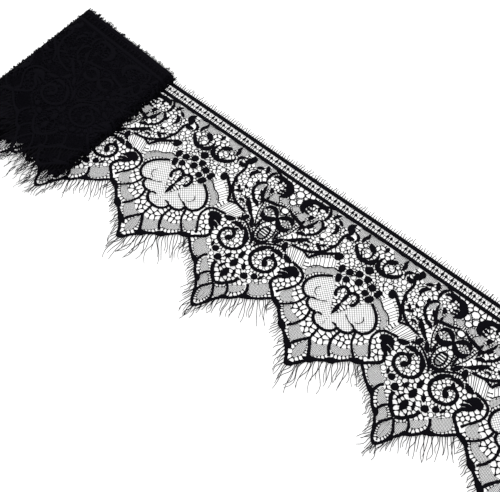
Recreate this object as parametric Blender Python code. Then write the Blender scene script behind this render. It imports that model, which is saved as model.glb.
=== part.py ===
"""Roll of scalloped lace trim, wound flat by hand, with its loose end lying on the table.

The band runs along X. Its straight heading is towards +Y and its points are towards -Y.
Everything rests on the plane z = 0. Lengths are in metres.
"""

import math
from collections import namedtuple

import bmesh
import bpy
from mathutils import Vector

# ---------------------------------------------------------------- driving sizes
REPEAT = 0.110            # one repeat of the lace, from one A point to the next
THICKNESS = 0.0010        # cloth of the loose end
GAP = 0.0003              # clearance between two pieces

# places along the band, in repeats from an A point's axis
LEFT_FOLD_AT = -0.045     # outermost edge of the roll's far fold
RIGHT_FOLD_AT = 0.576     # outermost edge of the roll's near fold
LEAVES_AT = 0.535         # where the lowest turn leaves the roll as the loose end
CUT_END_AT = 3.250        # straight cut across the loose end

# places across the band, in repeats from the heading's line
HEADING_EDGE = 0.0045     # upper edge of the heading braid
HAIR_REACH = 0.0370       # cut hairs above the heading
LASH_REACH = -1.0100      # tips of the longest lashes below a B point

# the edge of the points over half a repeat, from an A point to the next B point, in repeats
EdgeRow = namedtuple("EdgeRow", "offset depth lash")
EDGE = (
    EdgeRow(0.000, 0.852, 0.095),   # A point
    EdgeRow(0.030, 0.822, 0.110),
    EdgeRow(0.065, 0.788, 0.070),   # cusp
    EdgeRow(0.100, 0.750, 0.085),
    EdgeRow(0.140, 0.729, 0.090),   # cusp
    EdgeRow(0.185, 0.681, 0.100),
    EdgeRow(0.215, 0.660, 0.110),
    EdgeRow(0.250, 0.650, 0.110),   # valley
    EdgeRow(0.300, 0.697, 0.075),
    EdgeRow(0.355, 0.731, 0.080),   # cusp
    EdgeRow(0.390, 0.768, 0.080),
    EdgeRow(0.425, 0.797, 0.085),   # cusp
    EdgeRow(0.460, 0.848, 0.090),
    EdgeRow(0.500, 0.908, 0.102),   # B point
)

# soft rises of the loose end off the table
Rise = namedtuple("Rise", "along across reach height")
RISES = (
    Rise(0.98, -0.30, 0.22, 0.0006),
    Rise(1.45, -0.78, 0.16, 0.0009),
    Rise(1.95, -0.12, 0.25, 0.0005),
    Rise(2.40, -0.62, 0.20, 0.0008),
    Rise(2.95, -0.35, 0.24, 0.0006),
)
END_CURL_FROM = 2.95      # the cut end lifts a little past here
END_CURL_HEIGHT = 0.0022
ACROSS_STEPS = (0.0, 0.04, 0.12, 0.25, 0.40, 0.55, 0.70, 0.85, 1.0)

# the wound form
ROLL_HEIGHT_LEFT = 0.0160
ROLL_HEIGHT_RIGHT = 0.0088
ROLL_CROWN = 0.0008       # the top swells between the folds
LEFT_FOLD_DEPTH = 0.0062
RIGHT_FOLD_DEPTH = 0.0040
FOLD_STEPS = 5
TOP_STEPS = 16
RIPPLE = 0.00035          # soft ridges of the turns on the top
RIPPLED_ABOVE = 0.004     # no ridges where the stack is thinner than this
FOLD_SWAY = 0.0004        # the folds wander by this much
HEADING_CREEP = 0.004     # the turns' headings don't quite line up, in repeats
TURN_SHIFTS = (0.00, 0.23, 0.44, 0.62, 0.81)   # how far each group of turns has crept, in repeats
POINTS_PRESSED_TO = 0.42  # height of the stacked points' ends against the full height
POINTS_THIN_FROM = 0.60   # depth at which the stack starts to thin
LENGTH_STEPS = (0.0, 0.03, 0.10, 0.20, 0.32, 0.44, 0.54, 0.62, 0.69, 0.76, 0.83, 0.89, 0.95, 1.0)
TURN_RINGS = ((0.90, 0.70, 0.0012), (0.80, 0.42, -0.0006), (0.70, 0.16, 0.0010))

# the combs of lashes and hairs
COMB_THICKNESS = 0.0008
COMB_BAND = 0.0008        # strip that joins the teeth
LASH_GAP = 0.0007         # along Y, which is GAP square to the steepest edge
TOOTH_TIP = 0.45          # width of a tooth's tip against its root
HAIR_PITCH = 0.0045
ROLL_COMB_BASE = 0.0006
ROLL_COMB_THICKNESS = 0.0024
ROLL_LASH = 0.085         # reach of the roll's lashes past its points, in repeats

MIDDLE_ALONG = (LEFT_FOLD_AT + CUT_END_AT) / 2
MIDDLE_ACROSS = (HAIR_REACH + LASH_REACH) / 2

BLACK_THREAD = (0.012, 0.011, 0.016, 1.0)


# ---------------------------------------------------------------- places on the band
def place_x(along):
    """World X of a place along the band, given in repeats."""
    return (along - MIDDLE_ALONG) * REPEAT


def place_y(across):
    """World Y of a place across the band, given in repeats."""
    return (across - MIDDLE_ACROSS) * REPEAT


def from_point_axis(along):
    """Distance to the nearest A point's axis, in repeats: 0 at an A point and 0.5 at a B point."""
    return abs((along + 0.5) % 1.0 - 0.5)


def edge_value(along, column):
    """A column of EDGE at a place along the band, read between the rows on both sides of it."""
    offset = from_point_axis(along)
    for row, following in zip(EDGE, EDGE[1:]):
        if offset <= following.offset:
            share = (offset - row.offset) / (following.offset - row.offset)
            start = getattr(row, column)
            return start + share * (getattr(following, column) - start)
    return getattr(EDGE[-1], column)


def edge_places(start, end):
    """Every place along the band where the edge of the points turns, with both ends."""
    found = {round(start, 6), round(end, 6)}
    for repeat in range(math.floor(start) - 1, math.ceil(end) + 2):
        for row in EDGE:
            for place in (repeat + row.offset, repeat - row.offset):
                if start < place < end:
                    found.add(round(place, 6))
    return sorted(found)


def rise_at(along, across):
    """Height of the loose end's underside above the table."""
    height = 0.0
    for rise in RISES:
        distance = math.hypot(along - rise.along, across - rise.across) / rise.reach
        height += rise.height * math.exp(-distance * distance)
    if along > END_CURL_FROM:
        share = (along - END_CURL_FROM) / (CUT_END_AT - END_CURL_FROM)
        height += END_CURL_HEIGHT * share * share
    return height


# ---------------------------------------------------------------- mesh helpers
def thread_material(name, roughness):
    """Plain black thread."""
    material = bpy.data.materials.new(name)
    material.use_nodes = True
    shader = material.node_tree.nodes["Principled BSDF"]
    shader.inputs["Base Color"].default_value = BLACK_THREAD
    shader.inputs["Roughness"].default_value = roughness
    shader.inputs["Metallic"].default_value = 0.0
    return material


def add_object(name, mesh_data, material, smooth_angle):
    """Put a finished mesh into the scene as an object with its material."""
    bmesh.ops.recalc_face_normals(mesh_data, faces=mesh_data.faces)
    mesh = bpy.data.meshes.new(name)
    mesh_data.to_mesh(mesh)
    mesh_data.free()
    mesh.materials.append(material)
    mesh.shade_smooth()
    mesh.set_sharp_from_angle(angle=smooth_angle)
    piece = bpy.data.objects.new(name, mesh)
    bpy.context.scene.collection.objects.link(piece)
    return piece


def slab(upper, lower):
    """A closed slab between two grids of points that have the same rows and columns."""
    mesh_data = bmesh.new()
    tops = [[mesh_data.verts.new(point) for point in row] for row in upper]
    bottoms = [[mesh_data.verts.new(point) for point in row] for row in lower]
    last_row = len(tops) - 1
    last_column = len(tops[0]) - 1
    for r in range(last_row):
        for c in range(last_column):
            mesh_data.faces.new((tops[r][c], tops[r][c + 1], tops[r + 1][c + 1], tops[r + 1][c]))
            mesh_data.faces.new((bottoms[r][c], bottoms[r + 1][c], bottoms[r + 1][c + 1], bottoms[r][c + 1]))
    for r in range(last_row):
        for c in (0, last_column):
            mesh_data.faces.new((tops[r][c], tops[r + 1][c], bottoms[r + 1][c], bottoms[r][c]))
    for c in range(last_column):
        for r in (0, last_row):
            mesh_data.faces.new((tops[r][c], tops[r][c + 1], bottoms[r][c + 1], bottoms[r][c]))
    return mesh_data


# ---------------------------------------------------------------- loose end
def make_loose_end():
    """The scalloped sheet from under the roll to its straight cut end."""
    upper = []
    lower = []
    start = LEAVES_AT + GAP / REPEAT
    for along in edge_places(start, CUT_END_AT):
        depth = edge_value(along, "depth")
        top_row = []
        bottom_row = []
        for share in ACROSS_STEPS:
            across = HEADING_EDGE - share * (depth + HEADING_EDGE)
            height = rise_at(along, across)
            x = place_x(along)
            y = place_y(across)
            top_row.append(Vector((x, y, height + THICKNESS)))
            bottom_row.append(Vector((x, y, height)))
        upper.append(top_row)
        lower.append(bottom_row)
    material = thread_material("lace_web", 0.80)
    return add_object("loose_end", slab(upper, lower), material, math.radians(40))


# ---------------------------------------------------------------- combs of lashes and hairs
def comb(name, roots, tips, base_heights, thickness, material):
    """One flat comb.

    roots are the points of the strip's inner edge, one more than there are teeth. tips holds
    the far end of each tooth. base_heights are the undersides at the roots.
    """
    mesh_data = bmesh.new()
    direction = 1.0 if tips[0].y > roots[0].y else -1.0
    strip = Vector((0.0, direction * COMB_BAND, 0.0))
    columns = []
    for index in range(len(tips)):
        left = roots[index]
        right = roots[index + 1]
        if index == 0:
            columns.append((left, base_heights[0]))
        for share in (0.25, 0.75):
            height = base_heights[index] + share * (base_heights[index + 1] - base_heights[index])
            columns.append((left.lerp(right, share), height))
        columns.append((right, base_heights[index + 1]))
    inner = []
    outer = []
    for point, height in columns:
        raised = Vector((point.x, point.y, height))
        inner.append(mesh_data.verts.new(raised))
        outer.append(mesh_data.verts.new(raised + strip))
    for index in range(len(columns) - 1):
        mesh_data.faces.new((inner[index], inner[index + 1], outer[index + 1], outer[index]))
    for index, tip in enumerate(tips):
        first = outer[3 * index + 1]
        second = outer[3 * index + 2]
        half_tip = (second.co.x - first.co.x) * TOOTH_TIP / 2
        height = (first.co.z + second.co.z) / 2
        tip_first = mesh_data.verts.new((tip.x - half_tip, tip.y, height))
        tip_second = mesh_data.verts.new((tip.x + half_tip, tip.y, height))
        mesh_data.faces.new((first, second, tip_second, tip_first))
    grown = bmesh.ops.extrude_face_region(mesh_data, geom=list(mesh_data.faces))
    raised_verts = [item for item in grown["geom"] if isinstance(item, bmesh.types.BMVert)]
    bmesh.ops.translate(mesh_data, verts=raised_verts, vec=Vector((0.0, 0.0, thickness)))
    return add_object(name, mesh_data, material, math.radians(30))


def make_loose_end_lashes():
    """The comb of eyelash threads along the points of the loose end."""
    places = edge_places(LEAVES_AT + GAP / REPEAT, CUT_END_AT)
    roots = []
    heights = []
    for along in places:
        depth = edge_value(along, "depth")
        roots.append(Vector((place_x(along), place_y(-depth) - LASH_GAP, 0.0)))
        heights.append(rise_at(along, -depth))
    tips = []
    for left, right in zip(places, places[1:]):
        along = (left + right) / 2
        nearest_point = left if from_point_axis(left) > from_point_axis(right) else right
        if abs(from_point_axis(nearest_point) - 0.5) < 1e-6:
            reach = LASH_REACH
        else:
            reach = -edge_value(along, "depth") - edge_value(along, "lash")
        tips.append(Vector((place_x(along), place_y(reach), 0.0)))
    material = thread_material("lash_thread", 0.75)
    return comb("loose_end_lashes", roots, tips, heights, COMB_THICKNESS, material)


def make_loose_end_hairs():
    """The comb of short cut hairs along the heading of the loose end."""
    start = LEAVES_AT + GAP / REPEAT
    length = (CUT_END_AT - start) * REPEAT
    teeth = round(length / HAIR_PITCH)
    roots = []
    heights = []
    for index in range(teeth + 1):
        along = start + index / teeth * (CUT_END_AT - start)
        roots.append(Vector((place_x(along), place_y(HEADING_EDGE) + GAP, 0.0)))
        heights.append(rise_at(along, HEADING_EDGE))
    tips = []
    for left, right in zip(roots, roots[1:]):
        tips.append(Vector(((left.x + right.x) / 2, place_y(HAIR_REACH), 0.0)))
    material = thread_material("heading_hair", 0.80)
    return comb("loose_end_hairs", roots, tips, heights, COMB_THICKNESS, material)


# ---------------------------------------------------------------- roll
def roll_columns():
    """Across the section, from the far fold to the near one: place x, underside and top."""
    left = place_x(LEFT_FOLD_AT)
    right = place_x(RIGHT_FOLD_AT)
    leaves = place_x(LEAVES_AT)
    raised = THICKNESS + GAP
    left_centre = left + LEFT_FOLD_DEPTH
    right_centre = right - RIGHT_FOLD_DEPTH

    def top_at(x):
        share = (x - left_centre) / (right_centre - left_centre)
        crown = ROLL_CROWN * math.sin(math.pi * min(max(share, 0.0), 1.0))
        return ROLL_HEIGHT_LEFT + share * (ROLL_HEIGHT_RIGHT - ROLL_HEIGHT_LEFT) + crown

    columns = []
    for step in range(FOLD_STEPS):
        angle = math.pi / 2 * step / FOLD_STEPS
        middle = ROLL_HEIGHT_LEFT / 2
        half = middle * math.sin(angle)
        columns.append((left_centre - LEFT_FOLD_DEPTH * math.cos(angle), middle - half, middle + half))
    for step in range(TOP_STEPS + 1):
        x = left_centre + step / TOP_STEPS * (leaves - left_centre)
        columns.append((x, 0.0, top_at(x)))
    columns.append((leaves + 0.1 * GAP, raised, top_at(leaves)))
    columns.append((right_centre, raised, top_at(right_centre)))
    for step in range(FOLD_STEPS - 1, -1, -1):
        angle = math.pi / 2 * step / FOLD_STEPS
        middle = (ROLL_HEIGHT_RIGHT + raised) / 2
        half = (ROLL_HEIGHT_RIGHT - raised) / 2 * math.sin(angle)
        columns.append((right_centre + RIGHT_FOLD_DEPTH * math.cos(angle), middle - half, middle + half))
    return columns


def along_of(x):
    """Place along the band, in repeats, of a world X."""
    return x / REPEAT + MIDDLE_ALONG


def stack_depth(x):
    """Depth of the deepest point in the stack of turns at a world X, in repeats."""
    return max(edge_value(along_of(x) + shift, "depth") for shift in TURN_SHIFTS)


def stack_height(x, across):
    """Share of the full height that the stack of turns keeps at a place across the band."""
    depth = -across
    if depth <= POINTS_THIN_FROM:
        return 1.0
    share = (depth - POINTS_THIN_FROM) / (stack_depth(x) - POINTS_THIN_FROM)
    return 1.0 - (1.0 - POINTS_PRESSED_TO) * min(share, 1.0)


def roll_loop(columns, step):
    """One closed loop round the wound form, at a share of the way from the heading to the points."""
    left_centre = columns[FOLD_STEPS][0]
    leaves = place_x(LEAVES_AT)
    upper = []
    lower = []
    for x, underside, top in columns:
        along = along_of(x)
        heading = HEADING_EDGE - HEADING_CREEP * (1 + math.sin(23.0 * along))
        across = heading - step * (stack_depth(x) + heading)
        keep = stack_height(x, across)
        floor = THICKNESS + GAP if x > leaves else 0.0
        height = floor + (top - floor) * keep
        low = floor + (underside - floor) * keep
        if top - underside > RIPPLED_ABOVE:
            height += RIPPLE * math.sin(26.0 * along + 9.0 * across)
        sway = 0.0
        if x < left_centre or (x > leaves and underside > floor):
            sway = math.copysign(FOLD_SWAY, x - leaves) * math.sin(9.0 * across)
        upper.append(Vector((x + sway, place_y(across), height)))
        lower.append(Vector((x + sway, place_y(across), low)))
    return upper, lower


def ring_loop(upper, lower, width, height, push):
    """The same loop drawn in towards the middle of the end face, for one inner turn."""
    middle_x = (upper[0].x + upper[-1].x) / 2
    drawn_upper = []
    drawn_lower = []
    for high, low in zip(upper, lower):
        middle_z = (high.z + low.z) / 2
        half = (high.z - low.z) / 2 * height
        x = middle_x + (high.x - middle_x) * width
        drawn_upper.append(Vector((x, high.y + push, middle_z + half)))
        drawn_lower.append(Vector((x, low.y + push, middle_z - half)))
    return drawn_upper, drawn_lower


def make_roll():
    """The flat-wound form: rounded folds, wedge-shaped stack, staggered points at its end."""
    columns = roll_columns()
    loops = [roll_loop(columns, step) for step in LENGTH_STEPS]
    heading_upper, heading_lower = loops[0]
    rings = [ring_loop(heading_upper, heading_lower, *ring) for ring in TURN_RINGS]
    loops = rings[::-1] + loops

    mesh_data = bmesh.new()
    rounds = []
    last = len(columns) - 1
    for upper, lower in loops:
        tops = [mesh_data.verts.new(point) for point in upper]
        middle = [mesh_data.verts.new(point) for point in lower[1:last]]
        bottoms = [tops[0]] + middle + [tops[last]]
        rounds.append((tops, bottoms))
    for (tops, bottoms), (next_tops, next_bottoms) in zip(rounds, rounds[1:]):
        for c in range(last):
            mesh_data.faces.new((tops[c], tops[c + 1], next_tops[c + 1], next_tops[c]))
            mesh_data.faces.new((bottoms[c], next_bottoms[c], next_bottoms[c + 1], bottoms[c + 1]))
    for tops, bottoms in (rounds[0], rounds[-1]):
        mesh_data.faces.new((tops[0], tops[1], bottoms[1]))
        mesh_data.faces.new((tops[last], bottoms[last - 1], tops[last - 1]))
        for c in range(1, last - 1):
            mesh_data.faces.new((tops[c], tops[c + 1], bottoms[c + 1], bottoms[c]))
    return add_object("roll", mesh_data, thread_material("wound_lace", 0.85), math.radians(45))


def make_roll_lashes():
    """The comb of lashes past the points of the lowest turns."""
    columns = roll_columns()
    first = FOLD_STEPS
    places = [x for x, underside, top in columns[first:first + TOP_STEPS + 1]]
    roots = []
    for x in places:
        roots.append(Vector((x, place_y(-stack_depth(x)) - LASH_GAP, 0.0)))
    tips = []
    for left, right in zip(places, places[1:]):
        middle = (left + right) / 2
        tips.append(Vector((middle, place_y(-stack_depth(middle) - ROLL_LASH), 0.0)))
    heights = [ROLL_COMB_BASE] * len(roots)
    material = thread_material("roll_lash_thread", 0.75)
    return comb("roll_lashes", roots, tips, heights, ROLL_COMB_THICKNESS, material)


def make_roll_hairs():
    """The comb of hairs along the stacked headings."""
    columns = roll_columns()
    first = FOLD_STEPS
    places = [x for x, underside, top in columns[first:first + TOP_STEPS + 1]]
    ring_push = max(push for width, height, push in TURN_RINGS)
    y = place_y(HEADING_EDGE) + ring_push + GAP
    roots = [Vector((x, y, 0.0)) for x in places]
    tips = []
    for left, right in zip(places, places[1:]):
        tips.append(Vector(((left + right) / 2, place_y(HAIR_REACH), 0.0)))
    heights = [ROLL_COMB_BASE] * len(roots)
    material = thread_material("roll_heading_hair", 0.80)
    return comb("roll_hairs", roots, tips, heights, ROLL_COMB_THICKNESS, material)


def main():
    for existing in list(bpy.data.objects):
        bpy.data.objects.remove(existing, do_unlink=True)
    make_roll()
    make_loose_end()
    make_loose_end_lashes()
    make_loose_end_hairs()
    make_roll_lashes()
    make_roll_hairs()


main()
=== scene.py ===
import math
from collections import namedtuple

import bpy
import numpy as np
from mathutils import Matrix, Vector
from mathutils.geometry import delaunay_2d_cdt


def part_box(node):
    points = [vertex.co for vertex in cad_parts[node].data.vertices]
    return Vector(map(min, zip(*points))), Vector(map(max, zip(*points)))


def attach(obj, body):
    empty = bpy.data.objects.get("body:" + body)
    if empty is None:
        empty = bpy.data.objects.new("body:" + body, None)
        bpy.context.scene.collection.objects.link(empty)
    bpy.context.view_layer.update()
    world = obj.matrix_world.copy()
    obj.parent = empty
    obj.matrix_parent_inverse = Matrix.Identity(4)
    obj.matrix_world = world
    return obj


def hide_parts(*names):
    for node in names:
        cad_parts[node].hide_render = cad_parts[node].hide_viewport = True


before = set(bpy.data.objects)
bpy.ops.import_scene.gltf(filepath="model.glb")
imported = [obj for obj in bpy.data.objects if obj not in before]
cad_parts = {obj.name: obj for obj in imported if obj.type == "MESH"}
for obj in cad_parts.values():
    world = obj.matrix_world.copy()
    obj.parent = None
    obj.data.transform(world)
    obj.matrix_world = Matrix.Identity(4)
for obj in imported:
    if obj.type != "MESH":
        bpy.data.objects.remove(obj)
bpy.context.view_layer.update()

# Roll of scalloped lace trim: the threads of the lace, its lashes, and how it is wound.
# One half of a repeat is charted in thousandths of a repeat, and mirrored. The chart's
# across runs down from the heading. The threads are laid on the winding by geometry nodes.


def placed(name, data):
    """A new object in the scene that holds the data."""
    thing = bpy.data.objects.new(name, data)
    bpy.context.scene.collection.objects.link(thing)
    return thing


# -------- places, from the frame
CUT_END_AT = 3.250        # straight cut across the loose end, in repeats from an A point's axis
LEFT_FOLD_AT = -0.045     # outermost edge of the roll's far fold
LEAVES_AT = 0.535         # where the lowest turn leaves the roll
HEADING_EDGE = 0.0045     # upper edge of the heading, in repeats above the heading's line
B_DEPTH = 0.908           # depth of a B point, in repeats

loose_low, loose_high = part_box("loose_end")
roll_low, roll_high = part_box("roll")
REPEAT = (loose_high[1] - loose_low[1]) / (HEADING_EDGE + B_DEPTH)
HEADING_Y = loose_high[1] - HEADING_EDGE * REPEAT
ZERO_X = loose_high[0] - CUT_END_AT * REPEAT
MIL = REPEAT / 1000       # one unit of the chart

# -------- the chart
Stroke = namedtuple("Stroke", "kind width points")
Net = namedtuple("Net", "gauge angle points")
Ladder = namedtuple("Ladder", "bars thread upper lower")


def pairs(*numbers):
    """Places on the chart from a run of numbers: along, down, along, down."""
    return tuple(zip(numbers[::2], numbers[1::2]))


def cord(width, *numbers):
    """A sewn cord of even width."""
    return Stroke("cord", width, pairs(*numbers))


def leaf(width, *numbers):
    """A stroke that swells in its middle and comes to a point at both ends."""
    return Stroke("leaf", width, pairs(*numbers))


def spot(width, *numbers):
    """A short round stroke."""
    return Stroke("spot", width, pairs(*numbers))


def net(gauge, angle, *numbers):
    """An outline filled with net."""
    return Net(gauge, angle, pairs(*numbers))


EDGE = (   # offset from an A point's axis, depth of the cloth, lashes before and past the axis
    (0, 852, 118, 138), (30, 822, 92, 150), (65, 788, 70, 150), (100, 750, 60, 145), (140, 729, 58, 140),
    (185, 681, 56, 136), (215, 660, 52, 128), (250, 650, 60, 92), (300, 697, 62, 108), (355, 731, 60, 112),
    (390, 768, 62, 98), (425, 797, 70, 84), (460, 848, 84, 80), (500, 908, 96, 92),
)

CORDS_OF_THE_POINTS = (
    cord(13, 0, 843, 16, 836, 33, 812, 60, 780, 80, 762, 100, 743, 136, 720, 155, 704, 185, 675, 208, 655,
             232, 648, 250, 641),
    cord(12, 250, 641, 275, 664, 300, 687, 330, 707, 356, 721, 375, 740, 398, 768, 424, 786, 440, 808,
             458, 836, 472, 868, 486, 890, 500, 899),
    leaf(24, -26, 832, 0, 845, 26, 832),
    leaf(29, 32, 784, 62, 770, 90, 748),
    leaf(28, 110, 730, 136, 716, 160, 698),
    leaf(26, 190, 658, 224, 645, 256, 628),
    leaf(24, 318, 702, 350, 715, 376, 734),
    leaf(22, 404, 768, 424, 781, 438, 800),
    leaf(18, 448, 822, 460, 838, 468, 858),
    leaf(20, 484, 886, 500, 898, 516, 886),
    cord(13, 0, 688, 18, 712, 34, 736, 50, 766),
    cord(10, 0, 617, 0, 690),
    cord(11, 84, 572, 78, 604, 78, 632, 87, 660, 100, 682, 118, 704),
    cord(10, 138, 532, 144, 558, 153, 584, 171, 608, 190, 627, 208, 642),
    cord(10, 210, 470, 206, 500, 212, 525, 228, 553, 245, 578, 259, 604),
    cord(14, 299, 543, 311, 562, 307, 586, 288, 604, 268, 620, 252, 636),
    cord(12, 380, 657, 366, 678, 361, 704, 366, 728),
    cord(10, 470, 708, 444, 725, 427, 748, 422, 774),
    cord(11, 500, 756, 483, 779, 468, 806, 463, 832, 470, 862),
    cord(15, 431, 659, 437, 688, 453, 711, 474, 734, 500, 751),
    leaf(13, 474, 634, 466, 655, 458, 680),
)

FAN = (
    cord(12, 109, 372, 127, 383, 148, 398, 168, 419, 184, 446, 190, 475, 183, 502, 165, 522, 141, 531,
             125, 526),
    cord(12, 125, 526, 124, 546, 114, 562, 96, 571, 76, 573, 61, 568),
    cord(12, 61, 568, 58, 588, 44, 606, 24, 616, 0, 619),
    leaf(9, 128, 530, 110, 518, 92, 515),
    leaf(9, 64, 572, 44, 562, 26, 563),
    cord(3, 92, 515, 70, 505, 52, 492),
    cord(3, 122, 452, 132, 470, 124, 490, 106, 500),
)

SQUARES = (
    leaf(42, 0, 219, 0, 242, 0, 266),
    spot(34, 23, 281, 23, 291),
    spot(31, 63, 301, 65, 312),
    spot(35, 0, 318, 0, 328),
    spot(28, 105, 303, 101, 326),
    spot(32, 52, 345, 55, 352),
    spot(29, 92, 353, 82, 374),
    spot(34, 148, 264, 154, 282),
    cord(3, 15, 262, 36, 248, 58, 226),
    cord(3, 30, 300, 52, 330, 50, 350),
    cord(3, 66, 318, 78, 334, 86, 352),
    cord(3, 62, 360, 52, 378, 38, 382),
)

TREFOIL = (
    cord(14, 0, 396, 16, 384, 34, 380, 49, 394, 54, 418, 46, 440, 35, 438),
    leaf(17, 0, 386, 0, 425, 0, 466),
    leaf(19, 0, 458, 0, 492, 0, 532),
)

CURLS = (
    leaf(22, 17, 138, 8, 165, 12, 190, 30, 210, 58, 218, 88, 209, 112, 189, 126, 168, 120, 148),
    leaf(27, 30, 153, 54, 138, 80, 121),
    cord(9, 43, 148, 36, 170, 42, 193, 62, 209),
    cord(6, 80, 148, 91, 166, 88, 184, 72, 202),
    cord(4, 68, 142, 86, 126, 104, 144, 90, 160),
    leaf(18, 0, 82, 0, 101, 0, 124),
    cord(4, 4, 124, 14, 140),
    leaf(17, 111, 76, 108, 100, 117, 122, 111, 146),
    cord(4, 98, 142, 112, 146, 124, 156),
    cord(4, 0, 196, 12, 212, 30, 222),
)

LEAVES = (
    leaf(31, 190, 80, 201, 104, 189, 124, 181, 150),
    leaf(14, 176, 116, 152, 124, 138, 142, 146, 166),
    leaf(24, 150, 152, 172, 161, 196, 156),
    cord(12, 191, 145, 200, 172, 200, 198, 197, 222, 203, 248, 213, 275, 221, 298),
    cord(13, 158, 256, 182, 278, 205, 296, 227, 317, 245, 342, 257, 370),
    leaf(19, 274, 141, 254, 151, 244, 172, 250, 196),
    leaf(18, 236, 302, 256, 291, 278, 278),
    leaf(12, 288, 326, 300, 318, 318, 320),
    cord(4, 222, 165, 236, 147, 254, 139, 276, 140, 292, 152),
    leaf(16, 238, 132, 254, 119, 272, 108),
    leaf(19, 276, 82, 288, 100, 300, 124),
    cord(13, 219, 289, 238, 311, 262, 333, 296, 351, 330, 359, 360, 363),
    cord(10, 257, 369, 280, 359, 306, 353),
    cord(5, 105, 336, 126, 333, 147, 345, 168, 362, 190, 368, 212, 387, 230, 412),
    cord(12, 209, 474, 217, 459, 233, 446, 255, 439, 278, 436, 300, 432),
    leaf(26, 296, 442, 328, 438, 352, 418),
    leaf(15, 320, 284, 331, 306, 344, 338),
    cord(3, 128, 228, 142, 246, 150, 262),
    leaf(15, 262, 238, 270, 250, 286, 254),
    leaf(14, 292, 176, 298, 190, 294, 206),
    leaf(13, 236, 258, 246, 274, 258, 280),
    leaf(13, 300, 296, 312, 300, 326, 296),
    leaf(12, 208, 238, 212, 252, 224, 262),
    leaf(12, 316, 254, 328, 262, 338, 260),
    cord(3, 196, 222, 176, 232, 160, 250),
)

WING = (
    leaf(38, 234, 492, 252, 474, 280, 470, 304, 488),
    leaf(17, 258, 486, 290, 484, 320, 498),
    leaf(16, 262, 500, 292, 505, 321, 524),
    leaf(19, 266, 510, 290, 526, 313, 547),
    leaf(24, 254, 480, 268, 504, 284, 530),
)

SCROLLS = (
    cord(13, 334, 166, 314, 182, 304, 208, 306, 236, 321, 259, 342, 276),
    leaf(15, 350, 226, 368, 243, 382, 262, 386, 288),
    leaf(19, 334, 281, 360, 285, 388, 301),
    leaf(20, 336, 298, 362, 334, 402, 366),
    cord(5, 390, 250, 396, 280, 402, 308, 413, 340, 434, 378, 452, 400),
    leaf(26, 366, 414, 379, 390, 384, 364),
    cord(9, 352, 414, 376, 405, 402, 405, 430, 422, 458, 442, 480, 464, 492, 486),
    cord(5, 356, 376, 372, 398, 386, 404),
)

SPIRAL = (
    cord(15, 408, 432, 436, 448, 458, 478, 470, 510, 464, 541, 442, 564, 412, 575, 380, 569, 354, 551,
             343, 520, 351, 492, 372, 479, 394, 486, 404, 506, 396, 526),
    spot(27, 394, 519, 388, 530),
    leaf(25, 426, 438, 454, 470, 470, 512),
    leaf(24, 346, 450, 372, 438, 398, 440, 416, 456),
    leaf(15, 396, 452, 386, 470, 362, 482),
    spot(28, 382, 604, 387, 613),
    spot(31, 418, 633, 426, 641),
    leaf(19, 442, 616, 453, 600, 462, 582),
    leaf(13, 350, 578, 357, 594, 362, 612),
    leaf(25, 500, 530, 500, 556, 500, 581),
    leaf(29, 500, 584, 500, 612, 500, 640),
    leaf(32, 500, 650, 500, 681, 500, 712),
)

HEART = (
    leaf(23, 502, 298, 482, 276, 460, 260, 436, 262, 418, 288),
    leaf(29, 502, 288, 486, 310, 462, 328, 434, 324, 418, 300),
    cord(4, 422, 247, 440, 236, 461, 237, 480, 250, 500, 272),
    cord(4, 410, 262, 414, 290, 424, 318, 440, 336, 452, 352),
    cord(4, 500, 297, 487, 317, 486, 329, 500, 336),
    cord(8, 500, 361, 486, 367, 479, 384, 478, 405, 484, 427, 500, 439),
    cord(10, 486, 367, 514, 367),
    cord(6, 480, 384, 520, 384),
    cord(6, 479, 398, 521, 398),
    cord(6, 480, 412, 520, 412),
    cord(6, 472, 334, 463, 358, 458, 384, 460, 412, 472, 437, 487, 456, 500, 462),
    leaf(13, 484, 440, 500, 452, 516, 440),
    leaf(12, 443, 334, 447, 370, 441, 408),
    leaf(22, 406, 364, 420, 388, 438, 416),
    leaf(15, 452, 418, 470, 440, 486, 468),
    leaf(13, 466, 424, 482, 458, 490, 492),
)

ROSETTE = (
    cord(5, 500, 94, 481, 104, 477, 122, 464, 138, 463, 157, 479, 171, 486, 186, 500, 192),
    cord(4, 500, 145, 486, 128, 474, 122),
    cord(4, 500, 145, 488, 164, 478, 170),
    cord(3, 490, 190, 490, 218),
    cord(3, 500, 190, 500, 218),
    cord(6, 500, 217, 484, 225, 480, 237, 486, 250, 500, 256),
)

ACANTHUS = (
    leaf(15, 348, 81, 330, 97, 320, 120, 320, 142, 328, 168),
    leaf(12, 322, 80, 350, 84, 370, 98, 376, 122),
    leaf(24, 338, 120, 352, 104, 378, 97, 406, 102, 426, 118),
    leaf(34, 384, 98, 420, 102, 446, 128, 450, 160, 428, 194),
    leaf(13, 376, 102, 382, 122, 372, 140),
    leaf(11, 404, 126, 418, 132, 440, 130),
    leaf(12, 400, 154, 416, 156, 440, 150),
    leaf(12, 402, 180, 418, 176, 440, 168),
    cord(7, 314, 176, 330, 169, 346, 172),
    leaf(19, 366, 176, 382, 186, 378, 208),
    leaf(17, 356, 268, 388, 250, 428, 240, 462, 230, 488, 212),
    leaf(13, 338, 214, 351, 230, 359, 248),
    leaf(14, 344, 172, 350, 204, 364, 234, 382, 262),
    leaf(11, 392, 214, 395, 236, 402, 262),
    cord(4, 434, 196, 446, 210, 452, 228),
)

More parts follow.
